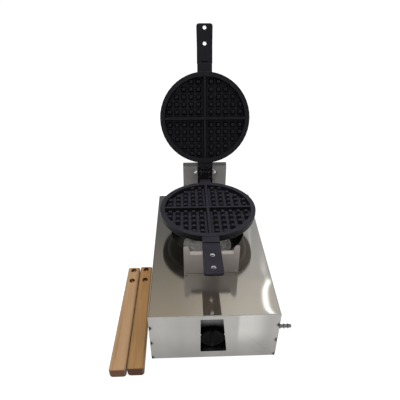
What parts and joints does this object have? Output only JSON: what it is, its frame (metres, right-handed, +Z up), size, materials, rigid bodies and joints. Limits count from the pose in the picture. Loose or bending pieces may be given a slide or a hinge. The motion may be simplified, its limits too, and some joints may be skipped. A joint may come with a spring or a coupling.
{
  "type": "gas waffle maker",
  "caption": "Table-top gas waffle maker: a polished steel casing with a round burner under hinged round waffle irons that swing open and flip on a rear swivel, with loose wooden grips.",
  "frame": {"origin": "centre of the base plate's underside", "axes": "+Z up, -Y towards the user at the window and knob, +X to the user's right, towards the gas inlet; irons drawn open"},
  "size_m": [0.3613, 0.5359, 0.5557],
  "materials": {
    "polished_stainless": "mirror-polished stainless steel sheet",
    "brushed_stainless": "satin stainless steel sheet, grain across",
    "zinc_steel": "dull zinc-plated steel",
    "chromed_steel": "bright plated steel",
    "cast_iron": "near-black seasoned cast iron, satin",
    "brass": "plain machined brass",
    "black_plastic": "moulded black heat-resistant plastic",
    "rubber": "matt black rubber",
    "beech": "oiled light beech, straight grain"
  },
  "bodies": {
    "casing": {"base_plate": "zinc_steel", "burner_head": "zinc_steel", "burner_port_plate": "brushed_stainless", "burner_stand": "zinc_steel", "drip_tray": "zinc_steel", "foot_front_left": "rubber", "foot_front_right": "rubber", "foot_rear_left": "rubber", "foot_rear_right": "rubber", "front_bracket": "brushed_stainless", "front_bracket_screw_left": "zinc_steel", "front_bracket_screw_right": "zinc_steel", "front_panel": "brushed_stainless", "gas_jet": "brass", "gas_tap": "brass", "gland_nut": "zinc_steel", "hose_nozzle": "chromed_steel", "inlet_pipe": "zinc_steel", "mixing_tube": "zinc_steel", "nozzle_locknut": "zinc_steel", "rear_bracket": "brushed_stainless", "rear_bracket_screw_left": "zinc_steel", "rear_bracket_screw_right": "zinc_steel", "rear_panel": "brushed_stainless", "side_screw_rear_left_1": "zinc_steel", "side_screw_rear_left_2": "zinc_steel", "side_screw_rear_right_1": "zinc_steel", "side_screw_rear_right_2": "zinc_steel", "tap_bracket": "zinc_steel", "top_cover": "polished_stainless"},
    "swivel": {"swivel_bush": "brass"},
    "lower_iron": {"lower_iron": "cast_iron", "hinge_pin": "chromed_steel", "hinge_nut_left": "chromed_steel", "hinge_nut_right": "chromed_steel", "swivel_shaft": "zinc_steel", "swivel_washer": "chromed_steel", "swivel_nut": "zinc_steel"},
    "upper_iron": {"upper_iron": "cast_iron"},
    "gas_knob": {"gas_knob": "black_plastic", "tap_stem": "brass"},
    "air_shutter": {"air_shutter": "zinc_steel"},
    "left_grip": {"left_grip": "beech", "left_grip_bolt_1": "brass", "left_grip_bolt_2": "brass", "left_grip_nut_1": "zinc_steel", "left_grip_nut_2": "zinc_steel"},
    "right_grip": {"right_grip": "beech", "right_grip_bolt_1": "brass", "right_grip_bolt_2": "brass", "right_grip_nut_1": "zinc_steel", "right_grip_nut_2": "zinc_steel"}
  },
  "joints": [
    {"name": "irons_lift", "type": "hinge", "parent": "casing", "child": "swivel", "pos_m": [0, 0.1998, 0.194], "axis": [-1, 0, 0], "range_deg": [0, 1.7]},
    {"name": "irons_flip", "type": "hinge", "parent": "swivel", "child": "lower_iron", "pos_m": [0, 0.1998, 0.194], "axis": [0, 1, 0], "range_deg": [0, 21]},
    {"name": "upper_iron_close", "type": "hinge", "parent": "lower_iron", "child": "upper_iron", "pos_m": [0, 0.1862, 0.2106], "axis": [1, 0, 0], "range_deg": [0, 108]},
    {"name": "knob_turn", "type": "hinge", "parent": "casing", "child": "gas_knob", "pos_m": [-0.003, -0.2, 0.053], "axis": [0, -1, 0], "range_deg": [0, 180]},
    {"name": "air_shutter_slide", "type": "slide", "parent": "casing", "child": "air_shutter", "axis": [0, -1, 0], "range_m": [0, 0.009]},
    {"name": "left_grip_lift", "type": "slide", "parent": "casing", "child": "left_grip", "axis": [0, 0, 1], "range_m": [0, 0.2]},
    {"name": "right_grip_lift", "type": "slide", "parent": "casing", "child": "right_grip", "axis": [0, 0, 1], "range_m": [0, 0.2]}
  ],
  "couplings": [
    {"joint": "irons_lift", "follows": "irons_flip", "ratio": 0.08}
  ]
}
